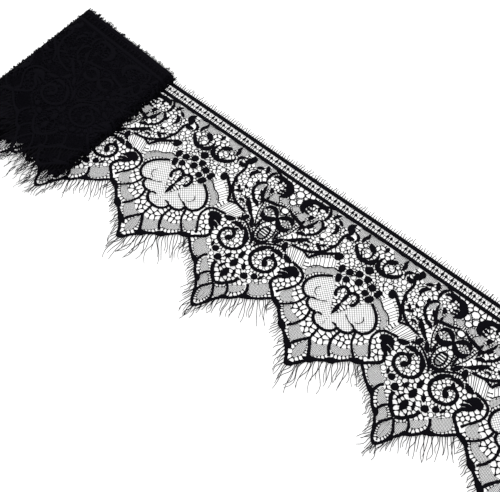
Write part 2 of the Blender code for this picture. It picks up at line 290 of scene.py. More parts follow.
NETS = (
    net("fan", 50, 109, 378, 84, 392, 64, 418, 50, 442, 38, 468, 26, 492, 8, 520, 0, 534, 0, 614, 24, 611,
                   42, 601, 54, 584, 60, 566, 86, 567, 110, 558, 119, 544, 122, 524, 145, 526, 164, 516,
                   178, 499, 184, 475, 178, 448, 162, 422, 140, 400, 122, 386),
    net("fine", 4, 30, 81, 104, 81, 103, 100, 92, 117, 72, 116, 50, 112, 36, 98),
    net("fine", 4, 117, 81, 164, 81, 158, 100, 150, 117, 132, 130, 122, 118, 119, 100),
    net("fine", 14, 208, 81, 270, 81, 260, 104, 250, 116, 240, 134, 222, 124, 209, 104),
    net("fine", 14, 298, 81, 330, 81, 322, 98, 311, 108, 303, 98),
    net("fine", 30, 104, 341, 128, 338, 148, 350, 167, 367, 186, 373, 203, 386, 216, 406, 228, 420,
                    222, 440, 208, 449, 198, 436, 186, 412, 166, 396, 146, 382, 126, 373, 110, 362),
    net("fine", 2, 0, 706, 14, 728, 24, 754, 23, 776, 14, 796, 0, 806),
    net("fine", 12, 8, 692, 36, 690, 60, 680, 76, 662, 90, 680, 104, 700, 96, 720, 74, 741, 52, 753,
                    36, 738, 22, 714),
    net("fine", 16, 88, 646, 116, 640, 146, 634, 163, 616, 180, 628, 187, 640, 172, 660, 150, 674, 122, 683,
                    102, 670),
    net("fine", 20, 166, 584, 192, 574, 207, 544, 220, 553, 236, 580, 238, 602, 222, 620, 200, 621,
                    182, 607),
    net("fine", 18, 312, 590, 332, 613, 350, 630, 372, 640, 374, 655, 359, 684, 338, 694, 308, 677,
                    286, 648, 289, 620, 302, 600),
    net("fine", 8, 386, 671, 408, 690, 438, 718, 426, 745, 404, 738, 386, 716, 378, 690),
    net("fine", 6, 441, 738, 462, 748, 477, 768, 468, 792, 453, 808, 437, 786, 431, 760),
    net("fine", 2, 500, 772, 485, 790, 477, 812, 479, 836, 488, 856, 500, 864),
    net("fine", 24, 310, 192, 324, 184, 342, 184, 341, 202, 333, 216, 318, 223, 309, 210),
    net("fine", 6, 349, 172, 362, 172, 361, 200, 358, 222, 349, 212),
    net("fine", 16, 368, 206, 378, 206, 388, 218, 387, 240, 376, 246, 368, 232),
    net("fine", 22, 397, 192, 408, 182, 428, 186, 444, 206, 448, 222, 430, 226, 424, 238, 408, 243,
                    396, 232, 398, 212),
    net("fine", 30, 441, 184, 456, 174, 474, 178, 484, 192, 484, 204, 470, 212, 455, 206),
    net("fine", 10, 440, 256, 458, 255, 466, 268, 456, 281, 442, 276),
    net("fine", 10, 438, 286, 456, 288, 466, 294, 460, 304, 446, 305),
    net("fine", 10, 412, 288, 430, 296, 438, 312, 444, 328, 432, 336, 418, 330, 410, 306),
    net("fine", 0, 485, 419, 500, 417, 515, 419, 510, 430, 500, 434, 490, 430),
)

RINGS = (   # round openings of the ground: along, down, and the reach along and down
    (500, 114, 23, 18), (476, 149, 14, 15), (500, 176, 17, 13), (500, 235, 17, 17), (500, 313, 12, 18),
    (484, 346, 12, 12), (385, 154, 11, 11), (276, 227, 15, 15), (249, 229, 11, 12), (285, 260, 12, 12),
    (260, 262, 10, 10), (277, 190, 12, 12), (282, 158, 11, 10), (228, 243, 9, 9), (307, 312, 13, 13),
    (316, 343, 8, 8), (278, 318, 9, 9), (257, 306, 12, 10), (355, 152, 9, 9), (338, 127, 10, 11),
    (366, 103, 8, 8), (391, 295, 8, 8), (407, 352, 8, 8), (445, 380, 8, 15), (54, 184, 14, 13),
    (65, 160, 12, 9), (92, 144, 9, 9), (0, 168, 7, 13), (157, 186, 13, 13), (182, 186, 10, 12),
    (172, 210, 12, 10), (146, 207, 9, 9), (163, 232, 12, 11), (186, 229, 9, 10), (124, 208, 9, 10),
    (99, 226, 11, 11), (124, 248, 12, 12), (70, 241, 10, 12), (82, 266, 11, 11), (46, 268, 9, 9),
    (0, 285, 11, 11), (128, 279, 10, 10), (79, 332, 12, 12), (34, 318, 11, 12), (224, 210, 10, 12),
    (226, 184, 8, 9), (295, 205, 7, 9), (30, 402, 9, 13), (18, 424, 8, 12), (333, 596, 12, 12),
    (365, 618, 11, 11), (387, 642, 11, 11), (404, 606, 9, 9), (422, 606, 8, 10), (377, 508, 11, 12),
    (430, 512, 12, 13), (420, 540, 12, 10), (392, 552, 11, 9), (366, 536, 10, 10), (416, 466, 9, 10),
)

BARE = (    # outlines within which no ground is worked
    pairs(500, 361, 487, 366, 480, 384, 479, 405, 485, 427, 500, 438, 515, 427, 521, 405, 520, 384,
          513, 366),
)

LADDERS = (
    Ladder(8, 3.2, pairs(140, 300, 164, 298, 186, 308, 210, 323, 233, 346, 250, 372),
           pairs(124, 332, 147, 344, 168, 361, 190, 367, 212, 386, 229, 408)),
    Ladder(9, 3.4, pairs(262, 371, 282, 363, 306, 357, 334, 363, 352, 371, 366, 392),
           pairs(240, 440, 258, 438, 276, 435, 298, 431, 322, 426, 345, 416)),
)

# -------- gauges, in chart units
NET_PITCH = {"fan": 10.3, "fine": 5.8}
NET_THREAD = {"fan": 1.9, "fine": 1.85}
BRIDE_THREAD = 4.1
BRIDE_FLARE = 2.3         # how much thicker a bar of the ground is at its ends
RING_THREAD = 3.6
RING_STEP = 7.5           # distance between places round an opening
BIGGEST_CELL = 31.0
SMALLEST_CELL = 15.0
DEEPEST_SQUARE = 9        # a cell is as large as its squares are deep in open ground, up to this depth
DEPTH_SPREAD = 6          # squares over which the largest depth nearby counts
EVENING_ROUNDS = 6        # rounds that move each cell's centre to the middle of its squares
BATCH = 4000              # squares that are worked on at a time
LOOKS_BETWEEN = 14        # places looked at between two cells
LONGEST_LOOK = 120        # and most places looked at along a bar
CELL_CLEARANCE = 0.80     # least distance between cells' centres, as a share of a cell
SHORTEST_BRIDE = 2.0
WIDEST_GAP = 2.4          # cells further apart than this many of the biggest have no bar between them
WRAP = 80                 # cells this near an end of the repeat also count past its other end
BRIDE_OVERRUN = 2.5       # how far a bar runs under the cord where it ends
HEADING_BANDS = ((7.5, 22.5), (67.5, 21.5))     # centre line and width of each braid
HEADING_DEPTH = 80        # the ground starts below this
STEP_PITCH = 51.5         # the heading's ladder repeats at this pitch
EDGE_MARGIN = 8           # the ground stops, and the lashes root, this far inside the edge
DRAWN_IN = 0.035          # how much narrower the wound turns lie, as a share
DRAWN_IN_OVER = 1.2       # repeats past the loose end over which they become so
SEWN_STEP = 7.0           # distance between places along a sewn stroke
STAMP_STEP = 2.0          # and between the places that it takes on the drawing board
SEWN_HEIGHT = 0.4         # strokes lie at a few heights, so that crossing ones share no face
SEWN_HEIGHT_STEP = 0.15
NET_HEIGHT = -0.6
NET_RIM_HEIGHT = -0.3
RING_HEIGHT = 0.1
LADDER_UNEVEN = 0.22
GRID = 2                  # size of a square of the drawing board on which the ground is laid out
BOARD_DEPTH = 920
MOST_LEAN = 0.75          # how far lashes lean along the band, as a share of their length
BACK_LEAN = -0.15
LEAF_FULLNESS = 0.62      # below 1 a leaf swells quickly from its point
LEAF_POINT = 0.12         # width at a leaf's point, as a share
SPOT_END = 0.45           # width at a spot's end, as a share
SPOT_REACH = 0.8          # how far a spot's end reaches past its last place, as a share of its half width
UNEVEN_PLACE = 0.5        # how unevenly cord is sewn down
UNEVEN_WIDTH = (0.92, 1.30)
PLUMPING = 0.7            # sewing plumps every cord by this much on each side


# -------- curves of the chart
def smooth(points, step, closed=False):
    """A smooth curve through given points, as closely spaced places."""
    p = np.array(points, float)
    if closed:
        p = np.vstack([p[-1], p, p[0], p[1]])
    else:
        p = np.vstack([2 * p[0] - p[1], p, 2 * p[-1] - p[-2]])
    places = []
    for a, b, c, d in zip(p, p[1:], p[2:], p[3:]):
        pieces = max(1, int(round(np.linalg.norm(c - b) / step)))
        t = np.arange(pieces)[:, None] / pieces
        places.append(0.5 * (2 * b + (c - a) * t + (2 * a - 5 * b + 4 * c - d) * t ** 2
                             + (3 * b - a - 3 * c + d) * t ** 3))
    if not closed:
        places.append(p[-2][None])
    return np.vstack(places)


def stroke_line(stroke, step):
    """Places and half widths along one stroke."""
    places = smooth(stroke.points, step)
    share = np.linspace(0, 1, len(places))
    half = stroke.width / 2
    if stroke.kind == "cord":
        widths = np.full(len(places), half)
    elif stroke.kind == "spot":
        if len(places) < 5:
            share = np.linspace(0, 1, 5)
            first, last = np.array(stroke.points)[[0, -1]]
            places = first + share[:, None] * (last - first)
        reach = np.subtract(places[-1], places[0])
        reach = reach / np.linalg.norm(reach) * half * SPOT_REACH
        places = places + (2 * share[:, None] - 1) * reach
        widths = half * np.array([SPOT_END + (1 - SPOT_END) * math.sin(math.pi * s) ** 0.5 for s in share])
    else:
        widths = half * np.maximum(np.sin(np.pi * share) ** LEAF_FULLNESS, LEAF_POINT)
    return places, widths


def roughened(line, rng):
    """The same line with the small unevenness of cord sewn down by hand."""
    places, widths = line
    places = places + rng.normal(0, UNEVEN_PLACE, places.shape)
    return places, widths * rng.uniform(*UNEVEN_WIDTH, len(widths)) + PLUMPING


def mirrored(points):
    """The same places on the other side of the A point's axis."""
    return [(-a, v) for a, v in points]


ALL_STROKES = (CORDS_OF_THE_POINTS + FAN + SQUARES + TREFOIL + CURLS + LEAVES + WING + SCROLLS + SPIRAL
               + HEART + ROSETTE + ACANTHUS)


def both_sides(rows):
    """Every row of a table with its mirror image, unless it is its own."""
    found = []
    for row in rows:
        found.append(row)
        middle = sum(a for a, v in row.points) / len(row.points)
        if middle not in (0, 500):
            found.append(row._replace(points=tuple(mirrored(row.points))))
    return found


def ring_line(a, v, along, down):
    """Places round an opening, first and last the same."""
    count = max(10, int((along + down) * math.pi / RING_STEP))
    turn = np.linspace(0, 2 * math.pi, count + 1)
    swell = RING_THREAD / 2
    return np.stack([a + (along + swell) * np.cos(turn), v + (down + swell) * np.sin(turn)], axis=1)


def edge_at(along, column=1):
    """Depth of the cloth (column 1) or its lashes (2, 3) at places along the band, in chart units."""
    offset = np.abs((np.asarray(along, float) + 500) % 1000 - 500)
    rows = np.array(EDGE, float)
    return np.interp(offset, rows[:, 0], rows[:, column])


def lashes_at(along):
    """Length of the lashes, which differs on the two sides of a point."""
    along = (np.asarray(along, float) + 500) % 1000 - 500
    near_a = np.where(along < 0, edge_at(along, 2), edge_at(along, 3))
    near_b = np.where(along > 0, edge_at(along, 2), edge_at(along, 3))
    return np.where(np.abs(along) < 250, near_a, near_b)


def lean_at(along):
    """How far the lashes lean along the band: more and more from a tip to the hollow, then a little back."""
    along = (np.asarray(along, float) + 500) % 500
    return np.where(along < 250, MOST_LEAN * along / 250, BACK_LEAN)


# -------- drawing board for the ground
def inside(points, x, y):
    """Which places lie inside a closed outline."""
    result = np.zeros(x.shape, bool)
    p = np.asarray(points)
    for (x0, y0), (x1, y1) in zip(p, np.roll(p, -1, axis=0)):
        crosses = (y0 > y) != (y1 > y)
        at = x0 + (y - y0) * (x1 - x0) / ((y1 - y0) if y1 != y0 else 1e-9)
        result ^= crosses & (x < at)
    return result


class Board:
    """A repeat of the lace as squares that are taken or free."""

    def __init__(self):
        along = np.arange(-500, 500, GRID) + GRID / 2
        self.x, self.y = np.meshgrid(along, np.arange(0, BOARD_DEPTH, GRID) + GRID / 2)
        self.taken = self.y > edge_at(self.x) - EDGE_MARGIN
        self.taken |= self.y < HEADING_DEPTH

    def stamp(self, places, widths):
        """Takes the squares under a stroke."""
        for (x, y), width in zip(places, widths):
            reach = int(width / GRID) + 2
            column = int((x + 500) // GRID)
            row = int(y // GRID)
            rows = np.arange(max(row - reach, 0), min(row + reach + 1, self.taken.shape[0]))
            columns = np.arange(column - reach, column + reach + 1)
            if not len(rows):
                continue
            dx = (columns * GRID + GRID / 2 - 500) - x
            dy = (rows * GRID + GRID / 2) - y
            hit = dx[None, :] ** 2 + dy[:, None] ** 2 <= width ** 2
            wrapped = columns % self.taken.shape[1]
            self.taken[np.ix_(rows, wrapped)] |= hit

    def fill(self, outline):
        """Takes the squares inside an outline."""
        for shift in (-1000, 0, 1000):
            self.taken |= inside(np.asarray(outline) + (shift, 0), self.x, self.y)

    def free_at(self, x, y):
        """Whether each place lies on a free square."""
        columns = ((np.asarray(x) + 500) // GRID).astype(int) % self.taken.shape[1]
        rows = np.clip((np.asarray(y) // GRID).astype(int), 0, self.taken.shape[0] - 1)
        return ~self.taken[rows, columns]


def neighbours(grid, combine):
    """Each square combined with the four beside it; the board wraps along the band."""
    result = combine(grid, np.roll(grid, 1, 1))
    result = combine(result, np.roll(grid, -1, 1))
    down = np.vstack([grid[:1], grid[:-1]])
    up = np.vstack([grid[1:], grid[-1:]])
    return combine(combine(result, down), up)


def cell_sizes(board):
    """Diameter of the ground's cells at each square: small in narrow places, larger in open ones."""
    free = ~board.taken
    depth = np.zeros(free.shape)
    current = free
    for _ in range(DEEPEST_SQUARE):
        depth += current
        current = neighbours(current, np.logical_and)
    ridge = depth
    for _ in range(DEPTH_SPREAD):
        ridge = neighbours(ridge, np.maximum)
    return np.clip(2.0 * GRID * ridge + 1.0, SMALLEST_CELL, BIGGEST_CELL), free


def ground_centres(board, seed):
    """Centres of the ground's cells, spread evenly over the free squares."""
    size, free = cell_sizes(board)
    rng = np.random.default_rng(seed)
    rows, columns = np.nonzero(free)
    order = rng.permutation(len(rows))
    blocked = ~free
    centres = []
    for r, c in zip(rows[order], columns[order]):
        if blocked[r, c]:
            continue
        centres.append((board.x[r, c], board.y[r, c], size[r, c]))
        reach = int(CELL_CLEARANCE * size[r, c] / GRID)
        span = np.arange(-reach, reach + 1)
        near_rows = np.clip(r + span, 0, free.shape[0] - 1)
        near_columns = (c + span) % free.shape[1]
        hit = span[:, None] ** 2 + span[None, :] ** 2 <= reach ** 2
        blocked[np.ix_(near_rows, near_columns)] |= hit
    return evened(np.array(centres), board)


def evened(centres, board):
    """The same centres, each moved to the middle of the free squares nearest to it."""
    x, y = board.x[~board.taken], board.y[~board.taken]
    for _ in range(EVENING_ROUNDS):
        label = np.empty(len(x), int)
        for start in range(0, len(x), BATCH):
            part = slice(start, start + BATCH)
            dx = (x[part, None] - centres[None, :, 0] + 500) % 1000 - 500
            dy = y[part, None] - centres[None, :, 1]
            label[part] = np.argmin((dx * dx + dy * dy) / centres[None, :, 2] ** 2, axis=1)
        dx = (x - centres[label, 0] + 500) % 1000 - 500
        dy = y - centres[label, 1]
        counts = np.maximum(np.bincount(label, minlength=len(centres)), 1)
        centres[:, 0] += np.bincount(label, dx, len(centres)) / counts
        centres[:, 1] += np.bincount(label, dy, len(centres)) / counts
    for k in np.nonzero(~board.free_at(centres[:, 0], centres[:, 1]))[0]:
        gap = (x - centres[k, 0]) ** 2 + (y - centres[k, 1]) ** 2
        centres[k, :2] = x[np.argmin(gap)], y[np.argmin(gap)]
    return centres


def circle_centre(a, b, c):
    """Centre of the circle through three places."""
    d = 2 * ((b[0] - a[0]) * (c[1] - a[1]) - (b[1] - a[1]) * (c[0] - a[0]))
    if abs(d) < 1e-9:
        return (a + b + c) / 3
    ab = (b - a) @ (b - a)
    ac = (c - a) @ (c - a)
    along = (c[1] - a[1]) * ab - (b[1] - a[1]) * ac
    down = (b[0] - a[0]) * ac - (c[0] - a[0]) * ab
    return a + np.array([along, down]) / d


def cell_borders(centres):
    """For every two neighbouring cells, their centres and the two ends of the border between them."""
    xy = centres[:, :2]
    wrapped = np.vstack([xy, xy[xy[:, 0] < WRAP - 500] + (1000, 0), xy[xy[:, 0] > 500 - WRAP] - (1000, 0)])
    points, edges, faces = delaunay_2d_cdt([Vector(p) for p in wrapped], [], [], 0, 1e-6)[:3]
    points = np.array([tuple(p) for p in points])
    beside = {}
    for face in faces:
        middle = circle_centre(*points[list(face)])
        for k in range(3):
            key = tuple(sorted((face[k], face[(k + 1) % 3])))
            beside.setdefault(key, []).append(middle)
    return [(points[i], points[j], *middles) for (i, j), middles in beside.items() if len(middles) == 2]


def open_stretch(board, start, end, middle):
    """The free stretch of a border round its place nearest to the middle, or None where there is none."""
    span = end - start
    length = np.linalg.norm(span)
    if length < SHORTEST_BRIDE:
        return None
    count = int(min(length, LONGEST_LOOK)) + 2
    share = np.linspace(0, 1, count)
    open_here = board.free_at(start[0] + share * span[0], start[1] + share * span[1])
    low = high = int(np.clip((middle - start) @ span / length ** 2, 0, 1) * (count - 1))
    if not open_here[low]:
        return None
    while low > 0 and open_here[low - 1]:
        low -= 1
    while high < count - 1 and open_here[high + 1]:
        high += 1
    overrun = BRIDE_OVERRUN / length
    first = start + max(share[low] - (overrun if low else 0), 0) * span
    last = start + min(share[high] + (overrun if high < count - 1 else 0), 1) * span
    return (first, last) if np.linalg.norm(last - first) > SHORTEST_BRIDE else None


def ground_brides(board, centres):
    """The bars of the ground: each lies between two neighbouring cells and ends at a knot or a cord."""
    share = np.linspace(0, 1, LOOKS_BETWEEN)
    lines = []
    for a, b, start, end in cell_borders(centres):
        middle = (a + b) / 2
        if not -500 <= middle[0] < 500 or np.linalg.norm(a - b) > WIDEST_GAP * BIGGEST_CELL:
            continue
        if board.free_at(a[0] + share * (b - a)[0], a[1] + share * (b - a)[1]).all():
            stretch = open_stretch(board, start, end, middle)
            if stretch:
                lines.append(stretch)
    return lines


# -------- nets and ladders
def net_lines(pitch, slant, outline):
    """Two sets of parallel threads clipped to an outline."""
    lines = []
    for quarter in (0, 90):
        angle = math.radians(slant + quarter)
        direction = np.array([math.cos(angle), math.sin(angle)])
        across = np.array([-direction[1], direction[0]])
        offsets = outline @ across
        for level in np.arange(math.ceil(offsets.min() / pitch) * pitch, offsets.max(), pitch):
            crossings = []
            for a, b in zip(outline, np.roll(outline, -1, axis=0)):
                da, db = a @ across - level, b @ across - level
                if (da > 0) != (db > 0):
                    crossings.append((a + (b - a) * da / (da - db)) @ direction)
            crossings.sort()
            for start, end in zip(crossings[::2], crossings[1::2]):
                if end - start > 1.5:
                    lines.append((across * level + direction * start, across * level + direction * end))
    return lines


def along_line(points, share):
    """Places at shares of the length of a smooth line."""
    line = smooth(points, 3)
    lengths = np.concatenate([[0], np.cumsum(np.linalg.norm(np.diff(line, axis=0), axis=1))])
    wanted = np.asarray(share) * lengths[-1]
    return np.stack([np.interp(wanted, lengths, line[:, k]) for k in (0, 1)], axis=1)


def ladder_lines(ladder):
    """Bars between two lines, a little uneven as on a real ladder."""
    bars = np.arange(ladder.bars)
    share = (bars + 0.5 + LADDER_UNEVEN * np.sin(5.1 * bars)) / ladder.bars
    return list(zip(along_line(ladder.upper, share), along_line(ladder.lower, share)))


# -------- centre lines of one repeat
def centre_lines(name, lines):
    """A wire mesh of centre lines; each line is places (x, y, z) and half widths, in chart units."""
    verts = []
    edges = []
    widths = []
    for places, halves in lines:
        first = len(verts)
        verts.extend((x * MIL, -y * MIL, z * MIL) for x, y, z in places)
        widths.extend(half * MIL for half in halves)
        edges.extend((first + k, first + k + 1) for k in range(len(places) - 1))
    mesh = bpy.data.meshes.new(name)
    mesh.from_pydata(verts, edges, [])
    mesh.attributes.new("half_width", "FLOAT", "POINT").data.foreach_set("value", widths)
    return placed(name, mesh)


def raised(places, height):
    """Flat places given a height."""
    return [(x, y, height) for x, y in places]


def off_axis(places):
    """The stretches of an outline that do not lie on the axis of an A or a B point."""
    runs = [[]]
    for place in places:
        if min(abs(place[0]), abs(abs(place[0]) - 500)) > 2.0:
            runs[-1].append(place)
        else:
            runs.append([])
    return [run[::2] + run[-1:] for run in runs if len(run) > 2]


def sewn_work(board):
    """Every sewn stroke of one repeat; its squares of the board are taken."""
    rng = np.random.default_rng(5)
    lines = []
    for index, stroke in enumerate(both_sides(ALL_STROKES)):
        places, widths = roughened(stroke_line(stroke, SEWN_STEP), rng)
        board.stamp(*stroke_line(stroke, STAMP_STEP))
        lines.append((raised(places, SEWN_HEIGHT + SEWN_HEIGHT_STEP * (index % 5)), widths))
    return lines


def net_work(board):
    """The nets of one repeat, each with a thread round it."""
    lines = []
    for patch in NETS:
        half = NET_THREAD[patch.gauge] / 2
        for points, slant in ((patch.points, patch.angle), (mirrored(patch.points), -patch.angle)):
            outline = smooth(points, 4, closed=True)
            board.fill(outline)
            for ends in net_lines(NET_PITCH[patch.gauge], slant, outline):
                lines.append((raised(ends, NET_HEIGHT), (half, half)))
            for run in off_axis(np.vstack([outline, outline[:1]])):
                lines.append((raised(run, NET_RIM_HEIGHT), [half * 0.9] * len(run)))
    return lines


def open_work(board):
    """The ladders, the round openings and the bars of the ground between everything else."""
    lines = []
    for ladder in LADDERS:
        for side in (1, -1):
            for ends in ladder_lines(ladder):
                lines.append((raised([(side * a, v) for a, v in ends], 0.0), [ladder.thread / 2] * 2))
            area = list(smooth(ladder.upper, 5)) + list(smooth(ladder.lower, 5))[::-1]
            board.fill([(side * a, v) for a, v in area])
    for a, v, along, down in RINGS:
        for side in (1, -1) if a not in (0, 500) else (1,):
            rim = ring_line(side * a, v, along, down)
            board.fill(rim)
            lines.append((raised(rim, RING_HEIGHT), [RING_THREAD / 2] * len(rim)))
    for outline in BARE:
        board.fill(outline)
    thin = BRIDE_THREAD / 2
    for first, last in ground_brides(board, ground_centres(board, 7)):
        bar_places = raised((first, (first + last) / 2, last), 0.0)
        lines.append((bar_places, (thin * BRIDE_FLARE, thin, thin * BRIDE_FLARE)))
    return lines


def chart_repeat():
    """One repeat as three wire meshes: solid work, ground with ladders, and nets."""
    board = Board()
    solid = sewn_work(board)
    nets = net_work(board)
    ground = open_work(board)
    return centre_lines("solid_work", solid), centre_lines("ground", ground), centre_lines("nets", nets)


def bar(height, *numbers):
    """A bar of the heading's ladder from a run of numbers: along, down, half width."""
    return raised(zip(numbers[::3], numbers[1::3]), height), numbers[2::3]


HEADING_STEP = (
    bar(0.2, 0, 14, 3.4, 0, 27, 3.0, 0, 33, 7.0, 0, 40, 7.2, 0, 46, 2.6, 0, 60, 3.0),
    bar(0.2, 20.6, 16, 1.1, 20.6, 28, 1.4, 20.6, 33, 7.2, 20.6, 39, 7.4, 20.6, 45, 2.4, 20.6, 60, 2.6),
    bar(0.0, 10.3, 40, 1.3, 10.3, 60, 1.7),
    bar(0.0, 29, 17, 0.9, 43, 43, 0.9),
    bar(0.0, 43, 17, 0.9, 29, 43, 0.9),
    bar(0.0, 36, 40, 1.5, 36, 60, 2.0),
    bar(0.1, 0, 41.5, 2.0, 10.3, 40.5, 1.4, 20.6, 41.5, 2.0, 36, 42.5, 1.4, 51.5, 41.5, 2.0),
    bar(0.1, 0, 29, 1.8, 10.3, 28, 1.1, 20.6, 29, 1.8),
)
HEADING_HAIR = 38         # length of the fine threads above the heading
WOUND_HEADING_HAIR = 27   # and of those on the wound turns
HEADING_HAIR_ROOT = 3


def heading_lines():
    """The heading as two wire meshes: its braids, and one step of its ladder."""
    xs = np.linspace(-500, 500, 51)
    bands = [(raised([(x, level) for x in xs], 0.3), [width / 2] * len(xs)) for level, width in HEADING_BANDS]
    return centre_lines("heading_bands", bands), centre_lines("heading_step", HEADING_STEP)


def rooting_lines():
    """Lines along which fine threads root: the scalloped edge, the heading and the wound heading.

    Their half width is the length of the threads."""
    turning = [side * row[0] for row in EDGE for side in (-1, 1)]
    xs = np.unique(np.concatenate([np.arange(-500, 501, 20), turning]))
    edge = [(raised([(x, edge_at(x) - EDGE_MARGIN) for x in xs], 0.0), lashes_at(xs))]
    edge = centre_lines("edge_line", edge)
    edge.data.attributes.new("mean_lean", "FLOAT", "POINT").data.foreach_set("value", lean_at(xs))
    top = raised([(x, HEADING_HAIR_ROOT) for x in xs], 0.0)
    return (edge, centre_lines("hair_line", [(top, [HEADING_HAIR] * len(xs))]),
            centre_lines("wound_hair_line", [(top, [WOUND_HEADING_HAIR] * len(xs))]))


# -------- node graphs written as expressions
class Value:
    """A socket that can be used in Python arithmetic."""

    def __init__(self, graph, socket):
        self.graph = graph
        self.socket = socket

    def math(self, operation, *others):
        return self.graph.math(operation, self, *others)

    def __add__(self, other):
        return self.math("ADD", other)

    def __sub__(self, other):
        return self.math("SUBTRACT", other)

    def __mul__(self, other):
        return self.math("MULTIPLY", other)

    def __truediv__(self, other):
        return self.math("DIVIDE", other)

    def __rsub__(self, other):
        return self.graph.math("SUBTRACT", other, self)

    def __rtruediv__(self, other):
        return self.graph.math("DIVIDE", other, self)

    __radd__ = __add__
    __rmul__ = __mul__


class Graph:
    """Adds nodes to a node tree."""

    def __init__(self, tree):
        self.tree = tree

    def add(self, kind, settings=None, inputs=None, output=0):
        """A node of a kind, with its settings first and then its sockets' values or links."""
        node = self.tree.nodes.new(kind)
        for key, value in (settings or {}).items():
            setattr(node, key, value)
        for key, value in (inputs or {}).items():
            socket = node.inputs[key] if isinstance(key, int) else self.find(node.inputs, key)
            if isinstance(value, Value):
                self.tree.links.new(value.socket, socket)
            else:
                socket.default_value = value
        found = node.outputs[output] if isinstance(output, int) else self.find(node.outputs, output)
        return Value(self, found)

    @staticmethod
    def find(sockets, identifier):
        """The socket with an identifier."""
        return next(s for s in sockets if s.identifier == identifier)

    def xyz(self, x, y, z):
        """A vector from its three parts."""
        return self.add("ShaderNodeCombineXYZ", inputs={"X": x, "Y": y, "Z": z})

    def parts(self, vector):
        """The three parts of a vector."""
        first = self.add("ShaderNodeSeparateXYZ", inputs={"Vector": vector})
        return [Value(self, socket) for socket in first.socket.node.outputs]

    def math(self, operation, *values):
        return self.add("ShaderNodeMath", {"operation": operation}, dict(enumerate(values)))

    def vector(self, operation, *vectors):
        return self.add("ShaderNodeVectorMath", {"operation": operation}, dict(enumerate(vectors)))

    def scaled(self, vector, factor):
        return self.add("ShaderNodeVectorMath", {"operation": "SCALE"}, {"Vector": vector, "Scale": factor})


HAIR_PLACES = 8           # places along each fine thread
TAPER = 0.40              # how much thinner a fine thread is at its end, as a share
LONGEST = 1.1             # longest fine thread, as a share of the length that its edge gives
WAVE = 0.09               # most sideways wave of a fine thread, as a share of its length
NEIGHBOURS_DRIFT = 90.0   # how fast lean and curl drift from one fine thread to the next, per metre


